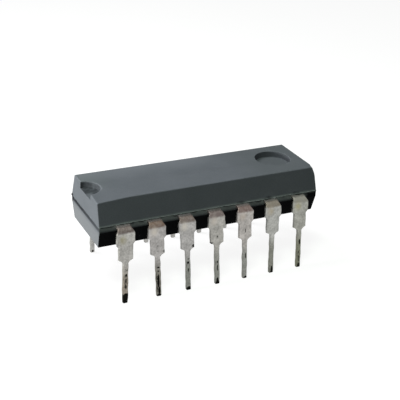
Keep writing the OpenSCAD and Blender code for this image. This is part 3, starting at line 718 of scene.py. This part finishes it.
# A dark line is painted under the fin along the notched end, darker at the back and with a blot at the
# corner: painted shadow of the fin
at_end = add(tree, "MapRange", {1: (0.06 - BODY_L / 2) * MM, 2: (0.02 - BODY_L / 2) * MM}, {0: x})[0]
above = add(tree, "MapRange", {1: (parting_z - 0.46) * MM, 2: (parting_z - 0.3) * MM}, {0: z})[0]
below = add(tree, "MapRange", {1: (parting_z - 0.03) * MM, 2: (parting_z - 0.08) * MM}, {0: z})[0]
thick = add(tree, "MapRange", {1: -3.0 * MM, 2: 1.0 * MM, 3: 0.65, 4: 0.95}, {0: y})[0]
in_corner = add(tree, "Math", {}, {0: at_end, 1: above}, operation="MULTIPLY")[0]
in_corner = add(tree, "Math", {}, {0: in_corner, 1: below}, operation="MULTIPLY")[0]
in_corner = add(tree, "Math", {}, {0: in_corner, 1: thick}, operation="MULTIPLY")[0]
blot = tuple(MM * np.array([-BODY_L / 2, BODY_W / 2, parting_z - 0.15]))
blot = add(tree, "VectorMath", {1: blot}, {0: place}, operation="DISTANCE")["Value"]
blot = add(tree, "MapRange", {1: 0.46 * MM, 2: 0.38 * MM}, {0: blot})[0]
in_corner = add(tree, "Math", {}, {0: in_corner, 1: blot}, operation="MAXIMUM")[0]
# The sunk floors are painted a little darker, and the recess's wall more so: painted shade
flat = add(tree, "MapRange", {1: 0.9, 2: 0.95, 4: 0.05}, {0: facing["Z"]})[0]
sunk_shade = add(tree, "Math", {}, {0: flat, 1: sunk}, operation="MULTIPLY")[0]
on_wall = add(tree, "MapRange", {1: 0.7, 2: 0.5}, {0: facing["Z"]})[0]
in_recess = within(*recess_middle, RECESS_R + 0.08, 0.02)
on_wall = add(tree, "Math", {}, {0: on_wall, 1: in_recess}, operation="MULTIPLY")[0]
on_wall = add(tree, "Math", {1: 0.35}, {0: on_wall}, operation="MULTIPLY")[0]
sunk_shade = add(tree, "Math", {}, {0: sunk_shade, 1: on_wall}, operation="MAXIMUM")[0]
shade_and_spots = add(tree, "Math", {}, {0: in_notch, 1: in_corner}, operation="MAXIMUM")[0]
# Dark spots 0.8 mm long lie on the upper wall, just over leads 5 to 7
tall = np.array([1, 1, 2.4])
stretched = add(tree, "VectorMath", {1: tuple(tall)}, {0: place}, operation="MULTIPLY")[0]
for k in (1, 2, 3):
    middle = tuple(MM * tall * [k * PITCH - 0.1, -BODY_W / 2, parting_z + 0.04])
    dark_spot = add(tree, "VectorMath", {1: middle}, {0: stretched}, operation="DISTANCE")["Value"]
    dark_spot = add(tree, "MapRange", {1: 0.5 * MM, 2: 0.3 * MM, 4: 0.6}, {0: dark_spot})[0]
    dark_spot = add(tree, "Math", {}, {0: dark_spot, 1: uneven}, operation="MULTIPLY")[0]
    shade_and_spots = add(tree, "Math", {}, {0: shade_and_spots, 1: dark_spot}, operation="MAXIMUM")[0]
shade_and_spots = add(tree, "Math", {}, {0: shade_and_spots, 1: sunk_shade}, operation="MAXIMUM")[0]
# The painted shade, the painted shadow and the dark spots above share one dark grey
resin = add(tree, "Mix", {7: linear("202226")}, {0: shade_and_spots, 6: resin}, data_type="RGBA")[2]
rough = add(tree, "MapRange", {1: 0.3, 2: 0.7, 3: 0.62, 4: 0.8}, {0: grain})[0]
bump = add(tree, "Bump", {"Strength": 0.35, "Distance": 0.008 * MM}, {"Height": grain})["Normal"]
shader = add(tree, "BsdfPrincipled", {"Specular IOR Level": 0.03}, {
    "Base Color": resin, "Roughness": rough, "Normal": bump})
add(tree, "OutputMaterial", {}, {"Surface": shader[0]})
body.data.materials.clear()
body.data.materials.append(moulded)
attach(body, "root")
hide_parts("package_body")

# The table, the lamps and the camera.
# A plain white sheet, two soft lamps overhead, one behind and a greenish one in front, and one low at the
# left, which lights the notched end. The long wall in front gets only what is left over.
SHEET_HALF = 400
corners = np.array([[-1, -1, 0], [1, -1, 0], [1, 1, 0], [-1, 1, 0]]) * SHEET_HALF * MM
mesh = bpy.data.meshes.new("sheet")
mesh.from_pydata(corners.tolist(), [], [[0, 1, 2, 3]])
sheet = bpy.data.objects.new("sheet", mesh)
bpy.context.scene.collection.objects.link(sheet)


def looked_at(tree):
    """1 where the camera looks straight, by a reflection or through glass, and 0 for the light that falls on
    the object."""
    path = add(tree, "LightPath")
    seen = add(tree, "Math", {}, {0: path["Is Camera Ray"], 1: path["Is Glossy Ray"]}, operation="MAXIMUM")[0]
    return add(tree, "Math", {}, {0: seen, 1: path["Is Transmission Ray"]}, operation="MAXIMUM")[0]


# White paper to the eye, and dark grey to the light, so that it throws little of it back up
paper, tree = bare_material("white_sheet")
seen = looked_at(tree)
matt = add(tree, "BsdfDiffuse", {"Color": linear("8c8c8c")})[0]
glow = add(tree, "Emission", {"Color": (1, 1, 1, 1), "Strength": 0.88})[0]
both = add(tree, "AddShader", {}, {0: matt, 1: glow})[0]
dark = add(tree, "BsdfDiffuse", {"Color": linear("141414")})[0]
surface = add(tree, "MixShader", {}, {0: seen, 1: dark, 2: both})[0]
add(tree, "OutputMaterial", {}, {"Surface": surface})
mesh.materials.append(paper)

# The room is white to the eye as well, but lights the object only faintly
world = bpy.data.worlds.new("white_room")
world.use_nodes = True
world.node_tree.nodes.clear()
tree = world.node_tree
strength = add(tree, "MapRange", {3: 0.04, 4: 1.0}, {0: looked_at(tree)})[0]
air = add(tree, "Background", {"Color": (1, 1, 1, 1)}, {"Strength": strength})[0]
add(tree, "OutputWorld", {}, {"Surface": air})
bpy.context.scene.world = world

AIM_Z = 6


def soft_lamp(name, place, size, colour, watts):
    """A square lamp at the place, in millimetres, that faces the middle of the body."""
    data = bpy.data.lights.new(name, "AREA")
    data.size, data.color, data.energy = size * MM, colour, watts
    lamp = bpy.data.objects.new(name, data)
    bpy.context.scene.collection.objects.link(lamp)
    place = np.array(place, float)
    lamp.location = place * MM
    way = place - [0, 0, AIM_Z]
    yaw, tilt = math.atan2(way[1], way[0]), math.acos(way[2] / np.linalg.norm(way))
    lamp.rotation_euler = Euler((0, tilt, yaw))


soft_lamp("overhead", (-45, 32, 85), 45, (0.97, 0.97, 1), 0.063)
soft_lamp("front_high", (-30, -38, 112), 30, (0.88, 1, 0.87), 0.063)
soft_lamp("low_left", (-150, 12, 12), 22, (0.98, 1, 0.93), 0.28)

# The camera's place, turn and focal length were solved from the photo together with the body's sizes
lens = bpy.data.cameras.new("camera")
lens.sensor_width = 36
lens.lens = 82.92
lens.clip_start, lens.clip_end = 0.001, 10
camera = bpy.data.objects.new("camera", lens)
camera.location = np.array([-29.9693, -61.1797, 37.8237]) * MM
camera.rotation_euler = Euler((1.1282, -0.0387, -0.4423))
bpy.context.scene.collection.objects.link(camera)
bpy.context.scene.camera = camera
bpy.context.scene.view_settings.view_transform = "Standard"
